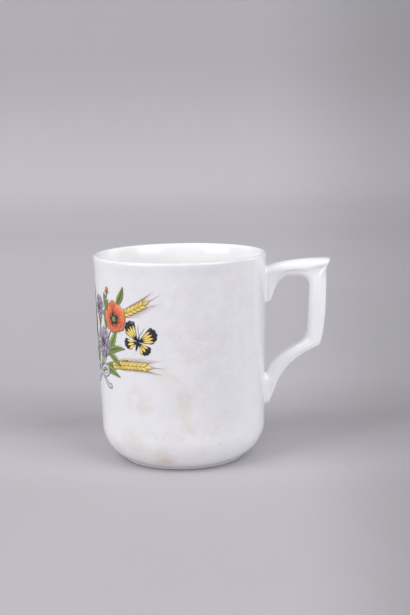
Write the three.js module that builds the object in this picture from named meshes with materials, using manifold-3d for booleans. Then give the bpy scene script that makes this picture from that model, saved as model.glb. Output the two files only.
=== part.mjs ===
// A straight-sided porcelain mug with an angular handle that has a thumb rest.
//
// It is put together the way such a mug is made. The body is jiggered in one piece: a thin wall with
// a rounded heel, a turned foot ring and a recessed base. The handle is cast apart, and its two roots
// are trimmed to the curve of the wall. A pad of slip, the liquid clay that glues dry pieces
// together, joins each root to the wall.
//
// Millimetres, +Z up. The mug stands on Z = 0, the handle points along +X, and the origin is under
// the middle of the whole outline, handle included.
import * as THREE from "three";
import { mergeVertices } from "three/addons/utils/BufferGeometryUtils.js";
import Module from "manifold-3d";

const wasm = await Module();
wasm.setup();

// Body, outside
const cupHeight = 89.5;
const rimRadius = 37.5;
const lipFlare = 0.3; // how far the lip turns out from the line of the wall
const lipFlareHeight = 5;
const wallTaper = 1.5; // how much narrower the wall is at the heel than it would be at the lip
const heelRadius = 16; // the big round between wall and foot
const footRadius = 26.8;
const footHeight = 1.4;

// Body, inside and underneath
const lipThickness = 2.4;
const wallThickness = 3; // at the heel
const floorThickness = 3.4;
const innerCornerRadius = 11;
const footWidth = 3;
const footEdgeRadius = 0.4;
const baseRecess = 1.8;
const recessCornerRadius = 0.9;

// Handle outline. A reach is measured out from the wall, a drop down from the top of the handle's
// root, and a round is how far from its corner a rounding starts.
const rimToHandle = 6.65;
const thumbReach = 28.35;
const thumbRise = 2.9;
const thumbDip = 0.3; // how far the thumb rest falls again towards its nose
const noseRound = 1.35;
const undercutDrop = 1.6; // the hollow under the nose, where the grip begins
const undercutRound = 3.3;
const gripReach = 26.2;
const gripThickness = 6.8;
const gripLean = 2.1; // how far the grip leans in at the elbow
const elbowDrop = 35.2;
const elbowRound = 1.7;
const barUnderDrop = 4.3;
const holeCornerRound = 5.2;
const holeElbowRound = 3.4;
const armThickness = 4.7; // measured level
const upperRootHeight = 16.6;
const upperRootLip = 2.1; // thickness of the blunt lower end of the upper root
const lowerRootHeight = 13.4;
const lowerRootLip = 1.8;
const footToHandle = 21; // height of the lower root's end over the table

// Handle widths, across the outline
const thumbWidth = 12;
const barWidth = 8.4;
const gripWidth = 9.2;
const armWidth = 7.6;
const rootWidth = 9.6;
const rootTipWidth = 4.6;
const crispEdge = 1.5; // radius of the edges of the thumb rest and the grip
const softEdge = 2.4; // radius of the edges round the finger hole and of the roots
const faceBulge = 0.3;
const noseBulge = 1.4; // how far the middle of the nose stands out past its corners

// Slip joints
const slipThickness = 0.5;
const slipMargin = 0.7; // how far the squeezed-out slip shows round a root
const seamGap = 0.3; // left open between slip and clay

// Fineness of the facets
const turnSegments = 64;
const arcTolerance = 0.03;

const porcelain = { color: 0xeeeeef, roughness: 0.12, metalness: 0 };
const glazedSlip = { color: 0xe6e6e8, roughness: 0.18, metalness: 0 };

// Heights and radii that follow from the ones above
const heelTopRadius = rimRadius - lipFlare - wallTaper;
const heelCentreRadius = heelTopRadius - heelRadius;
const heelSweep = Math.acos((footRadius - heelCentreRadius) / heelRadius);
const heelTop = footHeight + heelRadius * Math.sin(heelSweep);
const lipRadius = lipThickness / 2;
const lipLevel = cupHeight - lipRadius;
const lipBase = cupHeight - lipFlareHeight;
const handleTop = cupHeight - rimToHandle;
const handleHeight = handleTop - footToHandle;

function solidOf(geometry) {
  const bare = geometry.clone();
  for (const name of Object.keys(bare.attributes)) {
    if (name !== "position") bare.deleteAttribute(name);
  }
  const merged = mergeVertices(bare);
  const vertProperties = new Float32Array(merged.attributes.position.array);
  const triVerts = new Uint32Array(merged.index.array);
  return new wasm.Manifold(new wasm.Mesh({ numProp: 3, vertProperties, triVerts }));
}

function pieceOf(name, solid, finish) {
  const { vertProperties, triVerts } = solid.getMesh();
  const geometry = new THREE.BufferGeometry();
  geometry.setAttribute("position", new THREE.BufferAttribute(vertProperties, 3));
  geometry.setIndex(new THREE.BufferAttribute(triVerts, 1));
  geometry.computeVertexNormals();
  const piece = new THREE.Mesh(geometry, new THREE.MeshStandardMaterial(finish));
  piece.name = name;
  return piece;
}

// Profiles of turned pieces are lists of (radius, height) points

function arc(radius, height, size, from, to) {
  const stepAngle = 2 * Math.acos(1 - arcTolerance / size);
  const steps = Math.max(2, Math.ceil(Math.abs(to - from) / stepAngle));
  return Array.from({ length: steps + 1 }, (_, i) => {
    const angle = THREE.MathUtils.lerp(from, to, i / steps);
    return new THREE.Vector2(radius + size * Math.cos(angle), height + size * Math.sin(angle));
  });
}

function turned(profile) {
  const lathe = new THREE.LatheGeometry(profile, turnSegments);
  lathe.rotateX(Math.PI / 2);
  return solidOf(lathe);
}

// Outside radius of the wall: a straight taper, turned out a little at the lip and rounded at the heel
function wallRadius(height) {
  if (height < heelTop) return heelCentreRadius + Math.sqrt(heelRadius ** 2 - (heelTop - height) ** 2);
  const taper = THREE.MathUtils.mapLinear(height, heelTop, lipLevel, 0, wallTaper);
  const flare = lipFlare * THREE.MathUtils.smoothstep(height, lipBase, lipLevel);
  return heelTopRadius + taper + flare;
}

// The outside from the foot to the lip, grown by a clearance
function outsideProfile(grow = 0) {
  const flareSteps = 4;
  const levels = Array.from({ length: flareSteps + 1 }, (_, i) =>
    THREE.MathUtils.lerp(lipBase, lipLevel, i / flareSteps),
  );
  const heel = arc(heelCentreRadius, heelTop, heelRadius + grow, -heelSweep, 0);
  return [...heel, ...levels.map((level) => new THREE.Vector2(wallRadius(level) + grow, level))];
}

function cupBody() {
  const quarter = Math.PI / 2;
  const footInner = footRadius - footWidth;
  const recessRadius = footInner - recessCornerRadius;
  const recessLevel = baseRecess - recessCornerRadius;
  const innerCornerCentre = heelTopRadius - wallThickness - innerCornerRadius;
  const floorLevel = baseRecess + floorThickness;
  return turned([
    new THREE.Vector2(0, baseRecess),
    ...arc(recessRadius, recessLevel, recessCornerRadius, quarter, 0),
    ...arc(footInner + footEdgeRadius, footEdgeRadius, footEdgeRadius, -2 * quarter, -quarter),
    ...arc(footRadius - footEdgeRadius, footEdgeRadius, footEdgeRadius, -quarter, 0),
    ...outsideProfile(),
    ...arc(rimRadius - lipRadius, lipLevel, lipRadius, 0, 2 * quarter).slice(1),
    ...arc(innerCornerCentre, floorLevel + innerCornerRadius, innerCornerRadius, 0, -quarter),
    new THREE.Vector2(0, floorLevel),
  ]);
}

// Everything inside the outer face of the wall, grown by a clearance
function wallPlug(grow) {
  const side = outsideProfile(grow);
  const bottom = new THREE.Vector2(0, side[0].y);
  const top = new THREE.Vector2(0, side[side.length - 1].y);
  return turned([bottom, ...side, top]);
}

// The handle is drawn in its own plane as two rails. The outer rail runs over the thumb rest, down
// the grip and under the arm, the inner one round the finger hole. Cross-sections span the two.

// A point of a rail
function at(reach, drop) {
  const height = handleTop - drop;
  return new THREE.Vector2(wallRadius(height) + reach, height);
}

function towards(from, to, distance) {
  return to.clone().sub(from).setLength(distance).add(from);
}

function line(from, to) {
  return new THREE.LineCurve(from, to);
}

function bend(from, control, to) {
  return new THREE.QuadraticBezierCurve(from, control, to);
}

function rounding(before, corner, after, size) {
  return bend(towards(corner, before, size), corner, towards(corner, after, size));
}

function stretch(curve, from, to) {
  return { getPoint: (t) => curve.getPoint(THREE.MathUtils.lerp(from, to, t)) };
}

// What a cross-section looks like: its width at each rail, the radius of its edges there, and how far
// the middle of its outer face stands out
function section(outerWidth, innerWidth, outerEdge, innerEdge, bulge = faceBulge) {
  return { outerWidth, innerWidth, outerEdge, innerEdge, bulge };
}

function blend(a, b, share) {
  return Object.fromEntries(Object.keys(a).map((key) => [key, THREE.MathUtils.lerp(a[key], b[key], share)]));
}

// The legs from the upper root to the lower one, each with its stretch of both rails, the number of
// steps between its cross-sections and the cross-section at its end. The sizes at the top set the
// corners and ends of the rails, and the shares here only place the curves' controls between them.
function handleLegs() {
  const inWall = -wallThickness; // the rails start inside the wall, where the roots are trimmed
  const gripFoot = gripReach - gripLean;
  const gripInner = gripReach - gripThickness;
  const lowerRootTop = handleHeight - lowerRootHeight;

  const nose = at(thumbReach, thumbDip - thumbRise);
  const thumbCrest = at(0.56 * thumbReach, -thumbRise);
  const undercut = at(gripReach, undercutDrop);
  const gripBelly = at(gripReach + 0.3 * gripLean, 0.68 * elbowDrop);
  const elbow = at(gripFoot, elbowDrop);
  const armEndReach = lowerRootLip + 0.77 * armThickness;
  const armEndDrop = lowerRootTop + 0.28 * lowerRootHeight;
  const armEnd = at(armEndReach, armEndDrop);
  const armBendReach = THREE.MathUtils.lerp(gripFoot, armEndReach, 0.72);
  const armBendDrop = THREE.MathUtils.lerp(elbowDrop, armEndDrop, 0.33);
  const armBend = at(armBendReach, armBendDrop);
  const lowerTip = at(lowerRootLip, handleHeight);
  const lowerTipStart = towards(lowerTip, armEnd, 0.5 * lowerRootLip);

  // The top face is one curve, shared by four legs that end at these shares of it
  const tipShare = 0.18;
  const flankShare = 0.45;
  const barShare = 0.6;
  const thumb = new THREE.CubicBezierCurve(
    at(inWall, 0.3 * thumbRise),
    at(0.21 * thumbReach, -0.65 * thumbRise),
    thumbCrest,
    towards(nose, thumbCrest, noseRound),
  );
  const noseCurve = rounding(thumbCrest, nose, undercut, noseRound);
  const undercutCurve = rounding(nose, undercut, gripBelly, undercutRound);
  const elbowCurve = rounding(gripBelly, elbow, armBend, elbowRound);

  const upperTip = at(upperRootLip, upperRootHeight);
  const rootFlank = at(2.6 * upperRootLip, barUnderDrop);
  const barStart = at(4.75 * upperRootLip, barUnderDrop);
  const holeCorner = at(gripInner, barUnderDrop);
  const holeBelly = at(gripInner + 0.1 * gripLean, 0.57 * elbowDrop);
  const holeElbow = at(gripFoot - 1.25 * armThickness, elbowDrop - 0.6 * armThickness);
  const innerArmBend = at(armBendReach - armThickness, armBendDrop);
  const innerRoot = at(0.35 * lowerRootLip, lowerRootTop);
  const innerRootEnd = at(inWall, lowerRootTop + 0.15 * lowerRootHeight);

  const tipCurve = bend(at(inWall, upperRootHeight), upperTip, towards(upperTip, rootFlank, upperRootLip));
  const flank = new THREE.CubicBezierCurve(
    tipCurve.v2,
    towards(upperTip, rootFlank, 0.4 * upperRootHeight),
    rootFlank,
    barStart,
  );
  const holeCornerCurve = rounding(barStart, holeCorner, holeBelly, holeCornerRound);
  const holeElbowCurve = rounding(holeBelly, holeElbow, innerArmBend, holeElbowRound);

  const innerRootCurve = line(innerRoot, innerRootEnd);

  const rootSection = section(rootWidth, rootTipWidth, softEdge, softEdge);
  const barSection = section(rootWidth, barWidth, crispEdge, softEdge);
  const thumbSection = section(thumbWidth, gripWidth, crispEdge, softEdge);
  const noseSection = section(thumbWidth, gripWidth, crispEdge, softEdge, noseBulge);
  const gripSection = section(gripWidth, gripWidth, crispEdge, softEdge);
  const armSection = section(armWidth, armWidth, softEdge, softEdge);
  const lowerSection = section(rootTipWidth, rootWidth, softEdge, softEdge);

  const leg = (outer, inner, steps, end) => ({ outer, inner, steps, end });
  return {
    start: rootSection,
    upperRoot: [
      leg(stretch(thumb, 0, tipShare), tipCurve, 4, rootSection),
      leg(stretch(thumb, tipShare, flankShare), flank, 8, barSection),
    ],
    middle: [
      leg(stretch(thumb, flankShare, barShare), line(barStart, holeCornerCurve.v0), 2, barSection),
      leg(stretch(thumb, barShare, 1), stretch(holeCornerCurve, 0, 0.5), 5, thumbSection),
      leg(noseCurve, stretch(holeCornerCurve, 0.5, 0.65), 4, noseSection),
      leg(undercutCurve, stretch(holeCornerCurve, 0.65, 1), 6, gripSection),
      leg(
        bend(undercutCurve.v2, gripBelly, elbowCurve.v0),
        bend(holeCornerCurve.v2, holeBelly, holeElbowCurve.v0),
        8,
        gripSection,
      ),
      leg(elbowCurve, holeElbowCurve, 4, gripSection),
    ],
    lowerRoot: [
      leg(
        bend(elbowCurve.v2, armBend, armEnd),
        bend(holeElbowCurve.v2, innerArmBend, innerRoot),
        9,
        armSection,
      ),
      leg(line(armEnd, lowerTipStart), stretch(innerRootCurve, 0, 0.5), 5, lowerSection),
      leg(
        bend(lowerTipStart, lowerTip, at(inWall, handleHeight)),
        stretch(innerRootCurve, 0.5, 1),
        4,
        lowerSection,
      ),
    ],
  };
}

// The outline of one cross-section: a bar with rounded edges and slightly bulging faces
function ringOf(outer, inner, shape, margin) {
  const across = outer.clone().sub(inner).normalize();
  const length = outer.distanceTo(inner) + 2 * margin;
  const outerHalf = shape.outerWidth / 2 + margin;
  const innerHalf = shape.innerWidth / 2 + margin;
  const roomiest = 0.45 * length;
  const outerEdge = Math.min(shape.outerEdge, roomiest, 0.9 * outerHalf);
  const innerEdge = Math.min(shape.innerEdge, roomiest, 0.9 * innerHalf);
  const outerLevel = length - Math.min(shape.bulge, length - outerEdge - roomiest) - outerEdge;
  const edgeSteps = 4;
  const edge = (along, sideways, size, from) =>
    Array.from({ length: edgeSteps + 1 }, (_, i) => {
      const angle = from + (Math.PI / 2) * (i / edgeSteps);
      return [along + size * Math.cos(angle), sideways + size * Math.sin(angle)];
    });
  const half = [
    ...edge(outerLevel, outerHalf - outerEdge, outerEdge, 0),
    [length / 2, (outerHalf + innerHalf) / 2 + faceBulge],
    ...edge(innerEdge, innerHalf - innerEdge, innerEdge, Math.PI / 2),
  ];
  const mirrored = half.map(([along, sideways]) => [along, -sideways]).reverse();
  return [[length, 0], ...half, [0, 0], ...mirrored].map(([along, sideways]) => {
    const point = inner.clone().addScaledVector(across, along - margin);
    return new THREE.Vector3(point.x, sideways, point.y);
  });
}

// A closed skin through the cross-sections of consecutive legs, grown by a margin
function loft(start, legs, margin = 0) {
  const rings = [];
  let from = start;
  for (const { outer, inner, steps, end } of legs) {
    for (let i = rings.length ? 1 : 0; i <= steps; i += 1) {
      const share = i / steps;
      rings.push(ringOf(outer.getPoint(share), inner.getPoint(share), blend(from, end, share), margin));
    }
    from = end;
  }
  const count = rings[0].length;
  const points = rings.flat();
  const triangles = [];
  for (let r = 0; r < rings.length - 1; r += 1) {
    for (let i = 0; i < count; i += 1) {
      const a = r * count + i;
      const b = r * count + ((i + 1) % count);
      triangles.push(a, a + count, b, b, a + count, b + count);
    }
  }
  const closeWith = (first, flip) => {
    const middle = points.length;
    const ring = points.slice(first, first + count);
    points.push(ring.reduce((sum, p) => sum.add(p), new THREE.Vector3()).divideScalar(count));
    for (let i = 0; i < count; i += 1) {
      const pair = [first + i, first + ((i + 1) % count)];
      triangles.push(middle, ...(flip ? pair.reverse() : pair));
    }
  };
  closeWith(0, false);
  closeWith((rings.length - 1) * count, true);
  const geometry = new THREE.BufferGeometry().setFromPoints(points);
  geometry.setIndex(triangles);
  return solidOf(geometry);
}

const legs = handleLegs();
const handle = loft(legs.start, [...legs.upperRoot, ...legs.middle, ...legs.lowerRoot]);
const slipShell = wallPlug(seamGap + slipThickness).subtract(wallPlug(seamGap));
const upperSlip = loft(legs.start, legs.upperRoot, slipMargin);
const lowerSlip = loft(legs.middle.at(-1).end, legs.lowerRoot, slipMargin);

const mug = new THREE.Group();
mug.add(
  pieceOf("cup_body", cupBody(), porcelain),
  pieceOf("handle", handle.subtract(wallPlug(slipThickness + 2 * seamGap)), porcelain),
  pieceOf("upper_slip_joint", upperSlip.intersect(slipShell), glazedSlip),
  pieceOf("lower_slip_joint", lowerSlip.intersect(slipShell), glazedSlip),
);
mug.position.x = -new THREE.Box3().setFromObject(mug).getCenter(new THREE.Vector3()).x;

export default mug;
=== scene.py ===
import math
import random

import bpy
import numpy as np
from mathutils import Matrix, Vector


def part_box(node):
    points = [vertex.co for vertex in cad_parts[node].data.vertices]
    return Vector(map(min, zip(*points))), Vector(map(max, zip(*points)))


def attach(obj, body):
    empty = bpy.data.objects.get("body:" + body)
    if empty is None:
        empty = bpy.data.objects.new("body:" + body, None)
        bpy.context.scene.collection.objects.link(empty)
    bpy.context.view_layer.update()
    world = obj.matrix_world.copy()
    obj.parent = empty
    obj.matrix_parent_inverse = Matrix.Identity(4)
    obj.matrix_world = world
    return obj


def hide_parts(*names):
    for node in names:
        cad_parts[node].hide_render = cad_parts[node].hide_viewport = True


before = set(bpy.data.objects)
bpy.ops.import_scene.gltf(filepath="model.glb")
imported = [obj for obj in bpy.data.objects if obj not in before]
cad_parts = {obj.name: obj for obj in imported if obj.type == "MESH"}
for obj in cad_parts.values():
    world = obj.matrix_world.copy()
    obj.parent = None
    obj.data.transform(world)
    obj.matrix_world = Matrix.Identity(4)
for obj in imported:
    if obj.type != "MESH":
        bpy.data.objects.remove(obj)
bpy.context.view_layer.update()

# Shapes are worked out in millimetres round the mug's own axis, and to_frame puts them in place
MM = 0.001
cup_low, cup_high = (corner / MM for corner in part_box("cup_body"))
AXIS = (cup_low.x + cup_high.x) / 2

# Body
CUP_HEIGHT = cup_high.z
RIM_RADIUS = (cup_high.y - cup_low.y) / 2
LIP_FLARE = 0.3
LIP_FLARE_HEIGHT = 5
WALL_TAPER = 1.5
HEEL_RADIUS = 15.5
FOOT_RADIUS = 26.8
FOOT_HEIGHT = 1
LIP_THICKNESS = 2.4
LIP_EASE = 8.5  # how far down inside the lip is eased into the wall
WALL_THICKNESS = 3
FLOOR_THICKNESS = 3.4
INNER_CORNER_RADIUS = 11
FOOT_WIDTH = 3
FOOT_EDGE = 0.4
BASE_RECESS = 1.8
RECESS_CORNER = 0.9

# Handle: a reach is measured out from the wall and a drop down from the top of the root
RIM_TO_HANDLE = 6.65
THUMB_REACH = 28.2
THUMB_RISE = 3.2
THUMB_DIP = 0.3
NOSE_ROUND = 1.35
UNDERCUT_DROP = 1.6
UNDERCUT_ROUND = 3.3
GRIP_REACH = 26.2
GRIP_THICKNESS = 7.3
GRIP_LEAN = 2.1
ELBOW_DROP = 35.2
ELBOW_ROUND = 1.7
BAR_UNDER_DROP = 4.5
HOLE_CORNER_ROUND = 5.2
HOLE_ELBOW_ROUND = 3.4
ARM_THICKNESS = 4.7
ARM_BEND_THICKNESS = 8.1
UPPER_ROOT_HEIGHT = 16.6
UPPER_ROOT_LIP = 2.1
LOWER_ROOT_HEIGHT = 14.9
LOWER_ROOT_LIP = 1.8
FOOT_TO_HANDLE = 21
THUMB_WIDTH = 12
BAR_WIDTH = 8.4
GRIP_WIDTH = 9.2
ARM_WIDTH = 7.6
ROOT_WIDTH = 9.6
ROOT_TIP_WIDTH = 4.6
CRISP_EDGE = 1.5
SOFT_EDGE = 2.4
FACE_BULGE = 0.3
NOSE_BULGE = 1.4
REST_THICKNESS = 4.6  # down to the ledge under the thumb rest
LEDGE_FALL = 3.2
ROOT_SEAT = 1.2  # how deep the roots sit in the wall
SLIP_REACH = 0.9  # how far a fillet of slip reaches over handle and wall
SLIP_OVERLAP = 0.02  # how deep the edges of a fillet lie in handle and wall
SLIP_BACK = 0.8  # how far inside the root's outline a fillet is backed
SLIP_DEPTH = 0.5  # how deep in the wall that backing lies
SLIP_STEPS = 8

# The most that drying and firing move the true round: inward by sway and by ripple, and down at the rim
SWAY = 0.05
RIPPLE = 0.012
DROOP = 0.36

# The most of a handle section's length, and of half its width, that one rounded edge takes up
EDGE_ALONG = 0.45
EDGE_ACROSS = 0.9
GLAZE_SOFTENING = 6  # how often the sections are averaged with their neighbours

# What follows from the sizes above
HEEL_TOP_RADIUS = RIM_RADIUS - LIP_FLARE - WALL_TAPER
HEEL_CENTRE = HEEL_TOP_RADIUS - HEEL_RADIUS
HEEL_SWEEP = math.acos((FOOT_RADIUS - HEEL_CENTRE) / HEEL_RADIUS)
HEEL_TOP = FOOT_HEIGHT + HEEL_RADIUS * math.sin(HEEL_SWEEP)
LIP_RADIUS = LIP_THICKNESS / 2
LIP_LEVEL = CUP_HEIGHT - LIP_RADIUS
HANDLE_TOP = CUP_HEIGHT - RIM_TO_HANDLE
HANDLE_HEIGHT = HANDLE_TOP - FOOT_TO_HANDLE

TURN_STEPS = 288


def smoothstep(value, low, high):
    """0 at low and 1 at high, smooth between them."""
    share = min(1, max(0, (value - low) / (high - low)))
    return share * share * (3 - 2 * share)


def mix(a, b, share):
    return a + (b - a) * share


# The body's surface


def wall_radius(height):
    """The true round: a straight taper, turned out at the lip and rounded at the heel."""
    if height < HEEL_TOP:
        return HEEL_CENTRE + math.sqrt(HEEL_RADIUS**2 - (HEEL_TOP - height) ** 2)
    taper = WALL_TAPER * (height - HEEL_TOP) / (LIP_LEVEL - HEEL_TOP)
    return HEEL_TOP_RADIUS + taper + LIP_FLARE * smoothstep(height, LIP_LEVEL - LIP_FLARE_HEIGHT, LIP_LEVEL)


def fired(angle, radius, height):
    """Where a point of the true round ends up after drying and firing: a little inward, never outward.
    The waves and their phases are given."""
    sway = math.sin(2 * angle + 1.1) + 0.6 * math.sin(3 * angle - 0.4 + height / 30)
    ripple = math.sin(height / 7 + 2 * math.sin(angle + 0.7)) + math.sin(5 * angle + height / 11)
    shrink = SWAY * (1.6 + sway) / 3.2 + RIPPLE * (2 + ripple) / 4
    droop = DROOP * (1 + math.sin(angle)) / 2 * (height / CUP_HEIGHT) ** 2
    return (radius - shrink * radius / RIM_RADIUS, height - droop)


def skin(angle, height, lift=0.0):
    """A point on the outer face of the wall, or lifted off it."""
    radius, level = fired(angle, wall_radius(height) + lift, height)
    return Vector((radius * math.cos(angle), radius * math.sin(angle), level))


def to_frame(point):
    return ((point[0] + AXIS) * MM, point[1] * MM, point[2] * MM)


def add(name, data):
    """A new object in the scene."""
    made = bpy.data.objects.new(name, data)
    bpy.context.scene.collection.objects.link(made)
    return made


def smooth_mesh(name, points, faces, finishes):
    mesh = bpy.data.meshes.new(name)
    mesh.from_pydata(points, [], faces)
    mesh.polygons.foreach_set("use_smooth", [True] * len(mesh.polygons))
    for finish in finishes:
        mesh.materials.append(finish)
    return mesh


def piece(name, points, faces, finishes, slot, marks=None, finish_of=None):
    """A smooth mesh that rides on the frame. marks are numbers kept for each point, and finish_of says
    which of the finishes a face has."""
    mesh = smooth_mesh(name, [to_frame(p) for p in points], faces, finishes)
    for mark, values in (marks or {}).items():
        mesh.attributes.new(mark, "FLOAT", "POINT").data.foreach_set("value", values)
    if finish_of:
        mesh.polygons.foreach_set("material_index", [finish_of(p) for p in mesh.polygons])
    mesh.update()
    made = add(name, mesh)
    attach(made, "root")
    return made


def arc(radius, height, size, start, end, steps):
    """Points round a centre, from one angle in degrees to another."""
    angles = np.linspace(math.radians(start), math.radians(end), steps + 1)
    return [(radius + size * math.cos(a), height + size * math.sin(a)) for a in angles]


def straight(start, end, steps):
    return [(mix(start[0], end[0], s), mix(start[1], end[1], s)) for s in np.linspace(0, 1, steps + 1)]


def body_profile():
    """From the middle of the base, out and up over the lip, down to the middle of the floor inside.
    Each arc and straight ends with its number of steps, and the heel's levels crowd at the foot."""
    foot_inner = FOOT_RADIUS - FOOT_WIDTH
    recess = arc(foot_inner - RECESS_CORNER, BASE_RECESS - RECESS_CORNER, RECESS_CORNER, 90, 0, 6)
    foot = [
        *arc(foot_inner + FOOT_EDGE, FOOT_EDGE, FOOT_EDGE, -180, -90, 5),
        *arc(FOOT_RADIUS - FOOT_EDGE, FOOT_EDGE, FOOT_EDGE, -90, 0, 5),
    ]
    heel_levels = FOOT_HEIGHT + (HEEL_TOP - FOOT_HEIGHT) * np.linspace(0, 1, 30) ** 1.4
    wall_levels = np.linspace(HEEL_TOP, LIP_LEVEL, 70)[1:]
    outside = [(wall_radius(z), z) for z in [*heel_levels, *wall_levels]]
    lip_top = RIM_RADIUS - LIP_RADIUS
    lip = arc(lip_top, LIP_LEVEL, LIP_RADIUS, 0, 90, 10)[1:]
    inner_heel = HEEL_TOP_RADIUS - WALL_THICKNESS
    inner_heel_level = BASE_RECESS + FLOOR_THICKNESS + INNER_CORNER_RADIUS
    ease_level = CUP_HEIGHT - LIP_EASE
    ease_radius = wall_radius(ease_level) - WALL_THICKNESS
    ease = [
        (ease_radius + (lip_top - ease_radius) * (1 - math.cos(a)), ease_level + LIP_EASE * math.sin(a))
        for a in np.linspace(math.pi / 2, 0, 20)[1:]
    ]
    inside = straight((ease_radius, ease_level), (inner_heel, inner_heel_level), 30)[1:]
    corner_centre = inner_heel - INNER_CORNER_RADIUS
    corner = arc(corner_centre, inner_heel_level, INNER_CORNER_RADIUS, 0, -90, 14)[1:]
    floor = straight(corner[-1], (0, BASE_RECESS + FLOOR_THICKNESS), 8)[1:]
    base = straight((0, BASE_RECESS), recess[0], 6)[:-1]
    return [*base, *recess, *foot, *outside, *lip, *ease, *inside, *corner, *floor]


def turned(profile, steps):
    """A profile that starts and ends on the axis, turned once round it."""
    points = []
    for radius, height in profile[1:-1]:
        for i in range(steps):
            angle = 2 * math.pi * i / steps
            r, z = fired(angle, radius, height)
            points.append((r * math.cos(angle), r * math.sin(angle), z))
    rows = len(profile) - 2
    faces = []
    for row in range(rows - 1):
        for i in range(steps):
            a, b = row * steps + i, row * steps + (i + 1) % steps
            faces.append((a, b, b + steps, a + steps))
    for row, (radius, height), flip in ((0, profile[0], True), (rows - 1, profile[-1], False)):
        middle = len(points)
        points.append((radius, 0, height))
        for i in range(steps):
            pair = (row * steps + i, row * steps + (i + 1) % steps)
            faces.append((middle, *(reversed(pair) if flip else pair)))
    return points, faces


# The handle, drawn as two rails in its own plane: the outer one over the thumb rest, down the grip
# and under the arm, the inner one round the finger hole


def at(reach, drop):
    height = HANDLE_TOP - drop
    return Vector((wall_radius(height) + reach, height))


def towards(start, end, distance):
    return start + (end - start).normalized() * distance


def curve(*controls):
    """The curve that its control points draw, as a function of the share along it."""

    def point(share):
        row = controls
        while len(row) > 1:
            row = [a.lerp(b, share) for a, b in zip(row, row[1:])]
        return row[0]

    return point


def rounding(before, corner, after, size):
    return curve(towards(corner, before, size), corner, towards(corner, after, size))


def stretch(along, start, end):
    return lambda share: along(mix(start, end, share))


def past_wall(along):
    """The share at which a rail that starts deep in the wall reaches the seat of the root."""
    low, high = 0.0, 1.0
    for _ in range(30):
        middle = (low + high) / 2
        point = along(middle)
        if point.x < wall_radius(point.y) - ROOT_SEAT:
            low = middle
        else:
            high = middle
    return high


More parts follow.
